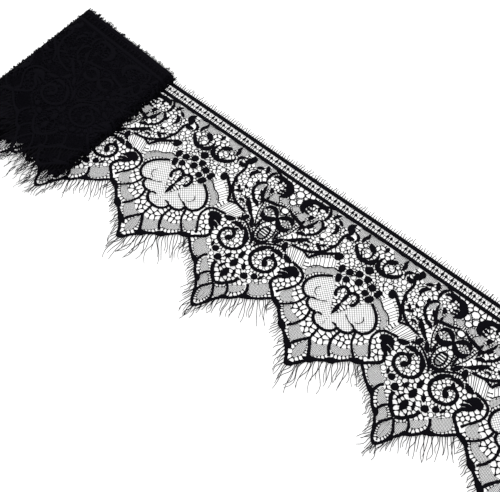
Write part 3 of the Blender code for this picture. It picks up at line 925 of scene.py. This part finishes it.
class GeometryTree(Graph):
    """A tree that repeats centre lines along the band, and lays what grows from them on the winding."""

    def __init__(self, name, **own):
        super().__init__(bpy.data.node_groups.new(name, "GeometryNodeTree"))
        named = {"Geometry": "Geometry", "First": "Float", "Count": "Int", "Pitch": "Float", "Start": "Float",
                 "End": "Float", "Path": "Object", "Path start": "Float", "Heading": "Float",
                 "Material": "Material", **own}
        for key, kind in named.items():
            self.tree.interface.new_socket(key, in_out="INPUT", socket_type="NodeSocket" + kind)
        self.tree.interface.new_socket("Geometry", in_out="OUTPUT", socket_type="NodeSocketGeometry")
        source = self.tree.nodes.new("NodeGroupInput")
        self.sink = self.tree.nodes.new("NodeGroupOutput")
        self.given = {socket.name: Value(self, socket) for socket in source.outputs if socket.name}

    def stored(self, geometry, name, value):
        return self.add("GeometryNodeStoreNamedAttribute", {"data_type": "FLOAT", "domain": "POINT"}, {
            "Geometry": geometry, "Name": name, "Value": value})

    def named(self, name):
        return self.add("GeometryNodeInputNamedAttribute", {"data_type": "FLOAT"}, {"Name": name})

    def repeated(self):
        """The given centre lines repeated along the band and cut to the stretch from start to end."""
        line = self.add("GeometryNodeMeshLine", {"mode": "OFFSET"}, {
            "Count": self.given["Count"], "Start Location": self.xyz(self.given["First"], 0.0, 0.0),
            "Offset": self.xyz(self.given["Pitch"], 0.0, 0.0)})
        copies = self.add("GeometryNodeInstanceOnPoints", inputs={
            "Points": line, "Instance": self.given["Geometry"]})
        copies = self.add("GeometryNodeRealizeInstances", inputs={"Geometry": copies})
        x = self.parts(self.add("GeometryNodeInputPosition"))[0]
        outside = x.math("LESS_THAN", self.given["Start"]) + x.math("GREATER_THAN", self.given["End"])
        return self.add("GeometryNodeDeleteGeometry", {"domain": "POINT"},
                        {"Geometry": copies, "Selection": outside})

    def tubes(self, wires, width, sides, flatness, most_height):
        """Closed threads round centre lines, flattened, with a soft limit to their height."""
        curves = self.add("GeometryNodeMeshToCurve", inputs={"Mesh": wires})
        curves = self.add("GeometryNodeSetCurveNormal", {"mode": "Z_UP"}, {"Curve": curves})
        reach = self.add("GeometryNodeSplineParameter", output="Length")
        curves = self.stored(curves, "along_thread", reach)
        ring = self.add("GeometryNodeCurvePrimitiveCircle", inputs={"Resolution": sides, "Radius": 1.0})
        ring = self.add("GeometryNodeTransform", inputs={
            "Geometry": ring, "Scale": self.xyz(1.0, flatness, 1.0)})
        mesh = self.add("GeometryNodeCurveToMesh", inputs={
            "Curve": curves, "Profile Curve": ring, "Scale": width, "Fill Caps": True})
        x, y, z = self.parts(self.add("GeometryNodeInputPosition"))
        height = (z / most_height).math("TANH") * most_height
        return self.add("GeometryNodeSetPosition", inputs={
            "Geometry": mesh, "Position": self.xyz(x, y, height)})

    def laid(self, threads):
        """The tree, finished: the flat band's X becomes distance along the path, and its Z the path's normal.

        Past the loose end the trim is drawn in a little across its width."""
        x, y, z = self.parts(self.add("GeometryNodeInputPosition"))
        wound = (LEAVES_AT * REPEAT - x) / (DRAWN_IN_OVER * REPEAT)
        wound = self.add("ShaderNodeClamp", inputs={"Value": wound})
        y = y * (1.0 - wound * DRAWN_IN)
        curve = self.add("GeometryNodeObjectInfo", inputs={"Object": self.given["Path"]}, output="Geometry")
        sample = self.add("GeometryNodeSampleCurve", {"mode": "LENGTH", "use_all_curves": True}, {
            "Curves": curve, "Length": x - self.given["Path start"]}, "Position")
        tangent = Value(self, self.find(sample.socket.node.outputs, "Tangent"))
        normal = self.vector("CROSS_PRODUCT", tangent, (0.0, 1.0, 0.0))
        place = self.vector("ADD", sample, self.scaled(normal, z))
        place = self.vector("ADD", place, self.xyz(0.0, y + self.given["Heading"], 0.0))
        work = self.add("GeometryNodeSetPosition", inputs={"Geometry": threads, "Position": place})
        work = self.add("GeometryNodeRealizeInstances", inputs={"Geometry": work})
        work = self.add("GeometryNodeSetShadeSmooth", inputs={"Geometry": work})
        work = self.add("GeometryNodeSetMaterial", inputs={
            "Geometry": work, "Material": self.given["Material"]})
        self.tree.links.new(work.socket, self.sink.inputs[0])
        return self.tree


def thread_tree():
    """Tree that makes the centre lines into laid threads."""
    g = GeometryTree("lace_threads", **{"Sides": "Int", "Flatness": "Float", "Most height": "Float"})
    a = g.given
    return g.laid(g.tubes(g.repeated(), g.named("half_width"), a["Sides"], a["Flatness"], a["Most height"]))


def lash_tree():
    """Tree that plants fine thread ends along an edge, each with its own length, lean and curl."""
    floats = ("Spacing", "Width", "Follow", "Lean", "Curl", "Shortest", "Upwards")
    g = GeometryTree("lash_threads", Seed="Int", **dict.fromkeys(floats, "Float"))
    a = g.given
    edge = g.add("GeometryNodeMeshToCurve", inputs={"Mesh": g.repeated()})
    roots = g.add("GeometryNodeResampleCurve", {"mode": "LENGTH"}, {"Curve": edge, "Length": a["Spacing"]})
    points = g.add("GeometryNodeCurveToPoints", {"mode": "EVALUATED"}, {"Curve": roots}, "Points")
    index = g.add("GeometryNodeInputIndex")

    def random(low, high, extra):
        return g.add("FunctionNodeRandomValue", {"data_type": "FLOAT"}, {
            "Min_001": low, "Max_001": high, "ID": index, "Seed": a["Seed"] + extra}, "Value_001")

    x, y, z = g.parts(g.add("GeometryNodeInputPosition"))
    drift = g.add("ShaderNodeTexNoise", {"noise_dimensions": "1D"}, {
        "W": x * NEIGHBOURS_DRIFT + a["Seed"], "Scale": 1.0, "Detail": 1.0}, 0)
    own_lean = random(a["Lean"] * -0.35, a["Lean"] * 0.35, 2)
    own_curl = random(a["Curl"] * -0.5, a["Curl"] * 0.5, 3)
    lean = g.named("mean_lean") * a["Follow"] + (drift - 0.5) * a["Lean"] * 4.0 + own_lean
    roots = g.stored(points, "reach", g.named("half_width") * random(a["Shortest"], LONGEST, 1))
    roots = g.stored(roots, "lean", lean)
    roots = g.stored(roots, "curl", (0.5 - drift) * a["Curl"] * 4.0 + own_curl)
    roots = g.stored(roots, "wave", random(-WAVE, WAVE, 5))
    roots = g.stored(roots, "lift", random(-0.4, 1.0, 4))
    roots = g.stored(g.stored(roots, "root_x", x), "root_y", y)
    hair = g.add("GeometryNodeMeshLine", {"mode": "OFFSET"}, {
        "Count": HAIR_PLACES, "Start Location": (0.0, 0.0, 0.0), "Offset": (0.0, 0.0, 1 / (HAIR_PLACES - 1))})
    share_on_hair = g.parts(g.add("GeometryNodeInputPosition"))[2]
    hair = g.stored(hair, "share", share_on_hair)
    hairs = g.add("GeometryNodeInstanceOnPoints", inputs={"Points": roots, "Instance": hair})
    hairs = g.add("GeometryNodeRealizeInstances", inputs={"Geometry": hairs})
    share, reach = g.named("share"), g.named("reach")
    wave = (share * 6.3).math("SINE") * g.named("wave")
    sideways = g.named("lean") * share + g.named("curl") * share * share + wave
    out = share * reach
    place = g.xyz(g.named("root_x") + sideways * reach, g.named("root_y") + out * a["Upwards"],
                  g.named("lift") * share * (1.0 - share * 0.5) * reach * 0.10)
    hairs = g.add("GeometryNodeSetPosition", inputs={"Geometry": hairs, "Position": place})
    return g.laid(g.tubes(hairs, a["Width"] * (1.0 - g.named("share") * TAPER), 3, 1.0, 0.01))


def grown(name, source, tree, **values):
    """The mesh that a tree makes of a source, as a plain piece."""
    holder = placed(name, source.data)
    modifier = holder.modifiers.new("grow", "NODES")
    modifier.node_group = tree
    sockets = {item.name: item.identifier for item in tree.interface.items_tree if item.in_out == "INPUT"}
    for key, value in values.items():
        modifier[sockets[key.replace("_", " ").capitalize()]] = value
    bpy.context.view_layer.update()
    graph = bpy.context.evaluated_depsgraph_get()
    mesh = bpy.data.meshes.new_from_object(holder.evaluated_get(graph))
    holder.modifiers.remove(modifier)
    bpy.data.objects.remove(holder)
    mesh.name = name
    return placed(name, mesh)


# -------- the winding
FLOOR_CLEARANCE = 0.0006
DETAILED_REPEATS = 3.8    # the outermost turns carry the whole pattern for this length
ROLL_HEIGHT_LEFT = roll_high[2] - 0.0004
ROLL_HEIGHT_RIGHT = 0.0088
LEFT_FOLD = 0.0062        # how far the folds stand out past the flat of the roll
RIGHT_FOLD = 0.0040
TURNS = 19
STATIONS = 120            # places on each turn
TOP_CLEARANCE = 0.0002
SLIP = 0.030              # how far the wound turns slip away from the heading, in repeats
SLIP_WAVER = 0.010
FOLD_WAVER = 0.0006       # how far the folds of one turn lie out of line with the next
FOLD_SHORT = 0.0016       # how far the inner turns stop short of the outermost folds
UNDER, FAR, OVER = 0.40, 0.50, 0.90     # where in a turn its underside, its far fold and its top end
THINNING = 0.93           # how much thinner the last turn lies than the first, as a share
INNER_CLOTH = 0.00010     # half thickness of the cloth of the inner turns
INNER_COLUMNS = 15
SHORT_OF_EDGE = (48, 40)  # how far the inner cloth stops inside the edge, at least, and how much it varies
NUB_TURNS = (0.44, 0.94, 1.45, 1.95)      # the folds where loops stand out
NUB_SPACING = 6.5


def winding_points():
    """The winding from the cut end inwards: along the table, then round and round the flat roll."""
    left = ZERO_X + LEFT_FOLD_AT * REPEAT + LEFT_FOLD
    right = roll_high[0] - RIGHT_FOLD
    leaves = ZERO_X + LEAVES_AT * REPEAT
    places = [(loose_high[0], 0.0, FLOOR_CLEARANCE), (leaves, 0.0, FLOOR_CLEARANCE)]

    def height_at(x):
        share = (x - left) / (right - left)
        return ROLL_HEIGHT_LEFT + share * (ROLL_HEIGHT_RIGHT - ROLL_HEIGHT_LEFT)

    def outer(turn):
        """Place on the outermost turn for a part of a turn: under, far fold, over, near fold."""
        if turn < UNDER:
            return leaves + (left - leaves) * turn / UNDER, 0.0
        if turn < FAR:
            angle = math.pi * (turn - UNDER) / 0.10
            middle = height_at(left) / 2
            return left - LEFT_FOLD * math.sin(angle), middle - middle * math.cos(angle)
        if turn < OVER:
            x = left + (right - left) * (turn - FAR) / 0.40
            return x, height_at(x)
        angle = math.pi * (turn - OVER) / 0.10
        middle = height_at(right) / 2
        return right + RIGHT_FOLD * math.sin(angle), middle + middle * math.cos(angle)

    for index in range(1, TURNS * STATIONS + 1):
        turn = index / STATIONS
        inset = 1 - THINNING * turn / TURNS
        x, z = outer(turn % 1.0)
        middle_z = height_at(min(max(x, left), right)) / 2
        over = max(left - x, 0) - max(x - right, 0)
        x = x + over * (1 - inset)
        if over:
            fold_middle = 1 - abs(2 * ((turn % 1.0) * 10 % 1.0) - 1)
            x += FOLD_WAVER * math.sin(2.7 * int(turn - 0.2) + 1.0) * fold_middle
        z = middle_z + (z - middle_z) * inset + (FLOOR_CLEARANCE if z < middle_z else -TOP_CLEARANCE)
        slip = min(max((turn - OVER) / 2.0, 0.0), 1.0)
        places.append((x, REPEAT * (-SLIP * slip + SLIP_WAVER * slip * math.sin(2.3 * turn)), z))
    return places


def measured_winding():
    """Places on the winding, and where each lies along the band, in repeats."""
    points = np.array(winding_points())
    steps = np.linalg.norm(np.diff(points, axis=0), axis=1)
    return points, CUT_END_AT - np.concatenate([[0], np.cumsum(steps)]) / REPEAT


def inner_turns(name, material):
    """The turns under the outermost ones, as thin scalloped cloth that follows the winding."""
    points, along = measured_winding()
    tangents = np.gradient(points, axis=0)
    tangents /= np.linalg.norm(tangents, axis=1)[:, None]
    rng = np.random.default_rng(9)
    columns = INNER_COLUMNS
    inside_edge, varies = SHORT_OF_EDGE
    verts = []
    rows = np.nonzero(along < LEAVES_AT - DETAILED_REPEATS + 0.35)[0][::3]
    nearest = points[rows, 0].min() + FOLD_SHORT
    furthest = points[rows, 0].max() - FOLD_SHORT
    for row in rows:
        normal = np.array([tangents[row][2], 0.0, -tangents[row][0]])
        short = 0.0008 * rng.random()
        points[row, 0] = min(max(points[row, 0], nearest + short), furthest - short)
        high = HEADING_Y + 0.008 * rng.random() * REPEAT
        depth = float(edge_at(along[row] * 1000)) * (1 - DRAWN_IN) - inside_edge - varies * rng.random()
        low = HEADING_Y - depth * MIL
        for side in (INNER_CLOTH, -INNER_CLOTH):
            for y in np.linspace(high, low, columns):
                verts.append(points[row] + normal * side + (0, y, 0))
    faces = []      # listed clockwise as seen from outside, and turned over below
    wide = 2 * columns
    for k in range(len(rows) - 1):
        here = k * wide
        there = here + wide
        for c in range(columns - 1):
            faces.append((here + c, here + c + 1, there + c + 1, there + c))
            under, beyond = here + columns + c, there + columns + c
            faces.append((under, beyond, beyond + 1, under + 1))
        faces.append((here, there, there + columns, here + columns))
        last = columns - 1
        faces.append((here + last, here + columns + last, there + columns + last, there + last))
    for k, order in ((0, 1), (len(rows) - 1, -1)):
        here = k * wide
        for c in range(columns - 1):
            corner = (here + c, here + columns + c, here + columns + c + 1, here + c + 1)
            faces.append(corner[::order])
    mesh = bpy.data.meshes.new(name)
    mesh.from_pydata([tuple(v) for v in verts], [], [face[::-1] for face in faces])
    mesh.materials.append(material)
    mesh.validate()
    return placed(name, mesh)


def fold_nubs():
    """Small loops of cord that stand out where the outer turns fold over."""
    along = measured_winding()[1]
    rng = np.random.default_rng(17)
    lines = []
    for turn in NUB_TURNS:
        middle = 1000 * along[2 + int(turn * STATIONS)]
        for level in np.arange(6, 850, NUB_SPACING):
            v = level + rng.uniform(-3, 3)
            x = middle + rng.uniform(-34, 34)
            reach = rng.uniform(3, 9)
            stand = rng.uniform(3, 11)
            skew = rng.uniform(-6, 6)
            loop = [(x + reach * a, v + skew * a, -stand * (1 - a * a)) for a in (-1, -0.6, 0, 0.6, 1)]
            lines.append((loop, [rng.uniform(1.6, 3.4)] * 5))
    return centre_lines("fold_nubs", lines)


def make_path():
    """The winding as a curve that runs from its inner end out to the cut end, and its length."""
    points = winding_points()[::-1]
    curve = bpy.data.curves.new("winding", "CURVE")
    curve.dimensions = "3D"
    spline = curve.splines.new("POLY")
    spline.points.add(len(points) - 1)
    for point, place in zip(spline.points, points):
        point.co = (*place, 1.0)
    length = sum((Vector(b) - Vector(a)).length for a, b in zip(points, points[1:]))
    return placed("winding", curve), length


# -------- materials
Finish = namedtuple("Finish", "colour roughness fibre_scale bump lay")
FINISHES = {    # fibre scale per metre; lay, the length of one turn of the thread's twist, in metres
    "outline_cord": Finish((0.0019, 0.0017, 0.0030), 0.85, 2500.0, 0.5, 0.0011),
    "fine_thread": Finish((0.0022, 0.0020, 0.0034), 0.85, 4000.0, 0.3, 0.0006),
    # turned cloth is painted lighter than the threads: painted light that lifts the shade between the wound
    # turns; outline cord is painted a little darker than fine thread: painted shade on the lit cords
    "turned_cloth_painted_lighter": Finish((0.0034, 0.0030, 0.0050), 0.9, 900.0, 0.8, 0.0014),
    "lash_thread": Finish((0.004, 0.0038, 0.005), 0.75, 4000.0, 0.2, 0.0008),
}
CLOUD_SCALE = 60.0        # how fine the broad uneven patches are, per metre
SHEEN = 0.035
RIB_SLANT = 0.35          # how much the ribs of the twist slant across a thread


def thread_material(name):
    """Black thread: ribs of its twist, uneven fibre, and broad patches that are a little lighter."""
    look = FINISHES[name]
    material = bpy.data.materials.new(name)
    material.use_nodes = True
    g = Graph(material.node_tree)
    shader = material.node_tree.nodes["Principled BSDF"]
    place = g.add("ShaderNodeTexCoord", output="Object")
    fibre = g.add("ShaderNodeTexNoise", inputs={"Vector": place, "Scale": look.fibre_scale, "Detail": 2.0})
    cloud = g.add("ShaderNodeTexNoise", inputs={"Vector": place, "Scale": CLOUD_SCALE, "Detail": 1.0})
    along = g.add("ShaderNodeAttribute", {"attribute_name": "along_thread"}, output="Fac")
    x, y, z = g.parts(place)
    ribs = ((along + (x + y) * RIB_SLANT) * (2 * math.pi / look.lay)).math("SINE") * 0.5 + 0.5
    tone = 0.70 + fibre * 0.30 + cloud * 0.20 + ribs * 0.15
    lightest = tuple(2 * c for c in look.colour) + (1,)
    base = g.add("ShaderNodeMix", {"data_type": "RGBA"}, {
        "Factor_Float": tone * 0.5, "A_Color": (0, 0, 0, 1), "B_Color": lightest}, "Result_Color")
    rough = look.roughness + (fibre - 0.5) * 0.2
    relief = fibre * 0.5 + ribs * 0.5
    height = g.add("ShaderNodeBump", inputs={"Height": relief, "Strength": look.bump, "Distance": 0.0002})
    for key, value in (("Base Color", base), ("Roughness", rough), ("Normal", height)):
        material.node_tree.links.new(value.socket, shader.inputs[key])
    shader.inputs["Specular IOR Level"].default_value = SHEEN
    return material


# -------- build
Fringe = namedtuple("Fringe", "spacing width follow lean curl shortest upwards seed")
FRINGES = {     # spacing and half width in chart units
    "loose_lashes": Fringe(11.5, 2.5, 1.0, 0.16, 0.32, 0.6, -1.0, 3),
    "loose_hairs": Fringe(13.0, 2.6, 0.0, 0.07, 0.10, 0.6, 1.0, 11),
    "turns_lashes": Fringe(17.0, 2.1, 1.0, 0.16, 0.32, 0.6, -1.0, 3),
    "turns_hairs": Fringe(8.0, 4.0, 0.0, 0.40, 0.10, 0.4, 1.0, 11),
    "inner_lashes": Fringe(90.0, 2.0, 0.9, 0.25, 0.3, 0.3, -1.0, 23),
    "inner_hairs": Fringe(9.0, 2.4, 0.0, 0.35, 0.3, 0.3, 1.0, 31),
}
MOST_HEIGHT = 0.00035     # threads stand no higher than this off the band
INNER_OVERLAP = 0.3       # repeats by which the inner turns' fine threads start before the outer turns end
INNER_END = 0.001         # and how far from the trim's inner end they stop
NUBS_HEIGHT = 0.003
RISES = ((0.98, -0.30, 0.22, 0.0006), (1.45, -0.78, 0.16, 0.0009), (1.95, -0.12, 0.25, 0.0005),
         (2.40, -0.62, 0.20, 0.0008), (2.95, -0.35, 0.24, 0.0006))    # along, across, reach, height
END_CURL_FROM = 2.95      # the cut end lifts a little past here
END_CURL_HEIGHT = 0.0022


def lie_unevenly(piece):
    """The slight rises of a laid band, and its cut end, which curls up a little."""
    mesh = piece.data
    places = np.empty(len(mesh.vertices) * 3)
    mesh.vertices.foreach_get("co", places)
    places = places.reshape(-1, 3)
    along = (places[:, 0] - ZERO_X) / REPEAT
    across = (places[:, 1] - HEADING_Y) / REPEAT
    for rise_along, rise_across, reach, height in RISES:
        away = ((along - rise_along) ** 2 + (across - rise_across) ** 2) / reach ** 2
        places[:, 2] += height * np.exp(-away)
    share = np.maximum(along - END_CURL_FROM, 0) / (CUT_END_AT - END_CURL_FROM)
    places[:, 2] += END_CURL_HEIGHT * share ** 2
    mesh.vertices.foreach_set("co", places.ravel())
    mesh.update()


def build_pieces():
    """Every piece by name, and the whole length of the winding."""
    solid, ground, nets = chart_repeat()
    heading_bands, heading_step = heading_lines()
    edge_line, hair_line, wound_hair_line = rooting_lines()
    nubs = fold_nubs()
    path, length = make_path()
    threads = thread_tree()
    lashes = lash_tree()
    outline_cord, fine_thread, turned_cloth_painted_lighter, lash_thread = map(thread_material, FINISHES)

    pieces = {}
    path_start = CUT_END_AT * REPEAT - length
    winding = dict(path=path, path_start=path_start, heading=HEADING_Y)

    def stretch(first, start, end):
        """Values of a tree for a stretch of the band, from its first repeat."""
        count = int(math.ceil(end / REPEAT + 0.5)) - first
        return dict(first=first * REPEAT, count=count, pitch=REPEAT, start=start, end=end, **winding)

    def add_fringe(name, line, values):
        """Plants fine threads along a line as one piece."""
        look = FRINGES[name]._asdict()
        for key in ("spacing", "width"):
            look[key] *= MIL
        pieces[name] = grown(name, line, lashes, material=lash_thread, **look, **values)

    leaves = LEAVES_AT * REPEAT
    step = STEP_PITCH * MIL
    thread_kinds = (    # centre lines, sides and flatness of each thread, and its material
        ("solid", solid, 6, 0.36, outline_cord), ("ground", ground, 4, 0.7, fine_thread),
        ("nets", nets, 3, 0.7, fine_thread), ("bands", heading_bands, 8, 0.2, outline_cord),
        ("steps", heading_step, 4, 0.6, outline_cord))
    for part, start, end, top_line in (
            ("loose", leaves, CUT_END_AT * REPEAT, hair_line),
            ("turns", leaves - DETAILED_REPEATS * REPEAT, leaves, wound_hair_line)):
        repeats = stretch(round(start / REPEAT), start, end)
        steps = dict(repeats, first=math.floor(start / step) * step, count=int((end - start) / step) + 2,
                     pitch=step)
        for kind, wires, sides, flatness, material in thread_kinds:
            name = f"{part}_{kind}"
            pieces[name] = grown(name, wires, threads, sides=sides, flatness=flatness, material=material,
                                 most_height=MOST_HEIGHT, **(steps if kind == "steps" else repeats))
        add_fringe(part + "_lashes", edge_line, repeats)
        add_fringe(part + "_hairs", top_line, repeats)
    pieces["turns_nubs"] = grown("turns_nubs", nubs, threads, sides=5, flatness=0.8, material=outline_cord,
                                 most_height=NUBS_HEIGHT, first=0.0, count=1, pitch=REPEAT,
                                 start=-DETAILED_REPEATS * REPEAT, end=leaves, **winding)
    pieces["inner_turns"] = inner_turns("inner_turns", turned_cloth_painted_lighter)
    inner_end = path_start + INNER_END
    inner_start = leaves - (DETAILED_REPEATS - INNER_OVERLAP) * REPEAT
    repeats = stretch(math.floor(inner_end / REPEAT), inner_end, inner_start)
    add_fringe("inner_lashes", edge_line, repeats)
    add_fringe("inner_hairs", wound_hair_line, repeats)

    for helper in (solid, ground, nets, heading_bands, heading_step, edge_line, hair_line, wound_hair_line,
                   nubs, path):
        bpy.data.objects.remove(helper)
    for name, piece in pieces.items():
        if name.startswith("loose"):
            lie_unevenly(piece)
        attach(piece, "root")
    return pieces, length


pieces, whole_length = build_pieces()
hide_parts("loose_end")
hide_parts("loose_end_lashes")
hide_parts("loose_end_hairs")
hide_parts("roll")
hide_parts("roll_lashes")
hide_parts("roll_hairs")
for name, piece in pieces.items():
    web = "lace_web" if name.startswith("loose") else "wound_lace"
    slot = "lash_thread" if "lashes" in name else "heading_hair" if "hairs" in name else web

SCALLOP_SHARE = 0.80      # share of the band's rectangle that lies within the scalloped edge
band_width = (HEADING_EDGE + B_DEPTH) * REPEAT
loose_length = (CUT_END_AT - LEAVES_AT) * REPEAT
wound_length = whole_length - loose_length
going_with = {"loose_solid": [], "inner_turns": []}
for name, piece in pieces.items():
    if name not in going_with:
        going_with["loose_solid" if name.startswith("loose") else "inner_turns"].append(piece)

# -------- camera, light and floor
AIM = (1.496, -0.492)     # place on the table, in repeats from the heading's line at an A point's axis
DISTANCE = 4.654          # from there, in repeats
TURN = 37.16              # degrees about the upright
TILT = 31.37              # degrees from straight down
ROLL = 2.95               # degrees about the line of sight
LENS_MM = 72.1

camera_data = bpy.data.cameras.new("camera")
camera_data.lens = LENS_MM
camera_data.sensor_width = 36.0
camera_data.clip_start = 0.01
camera = placed("camera", camera_data)
stand = Matrix.Translation((ZERO_X + AIM[0] * REPEAT, HEADING_Y + AIM[1] * REPEAT, 0.0))
for angle, axis in ((TURN, "Z"), (TILT, "X"), (ROLL, "Z")):
    stand = stand @ Matrix.Rotation(math.radians(angle), 4, axis)
camera.matrix_world = stand @ Matrix.Translation((0.0, 0.0, DISTANCE * REPEAT))
bpy.context.scene.camera = camera

floor_mesh = bpy.data.meshes.new("floor")
floor_mesh.from_pydata([(-2, -2, 0), (2, -2, 0), (2, 2, 0), (-2, 2, 0)], [], [(0, 1, 2, 3)])
floor = placed("floor", floor_mesh)
floor_material = bpy.data.materials.new("floor")
floor_material.use_nodes = True
floor_shader = floor_material.node_tree.nodes["Principled BSDF"]
for key, value in (("Base Color", (0.45, 0.45, 0.45, 1.0)), ("Emission Color", (1.0, 1.0, 1.0, 1.0)),
                   ("Emission Strength", 0.62), ("Roughness", 1.0), ("Specular IOR Level", 0.0)):
    floor_shader.inputs[key].default_value = value
floor_mesh.materials.append(floor_material)
SCALLOP_SHARE * band_width * wound_length

world = bpy.data.worlds.new("studio")
world.use_nodes = True
world.node_tree.nodes["Background"].inputs["Color"].default_value = (1.0, 1.0, 1.0, 1.0)
world.node_tree.nodes["Background"].inputs["Strength"].default_value = 0.9
bpy.context.scene.world = world
for name, energy, size, place in (("key", 9.0, 0.8, (-0.4, 0.5, 0.9)), ("fill", 4.0, 1.0, (0.6, -0.5, 0.8))):
    light_data = bpy.data.lights.new(name, "AREA")
    light_data.energy = energy
    light_data.size = size
    light = placed(name, light_data)
    light.location = place
    light.rotation_euler = (-Vector(place)).to_track_quat("-Z", "Y").to_euler()
bpy.context.scene.view_settings.view_transform = "Standard"
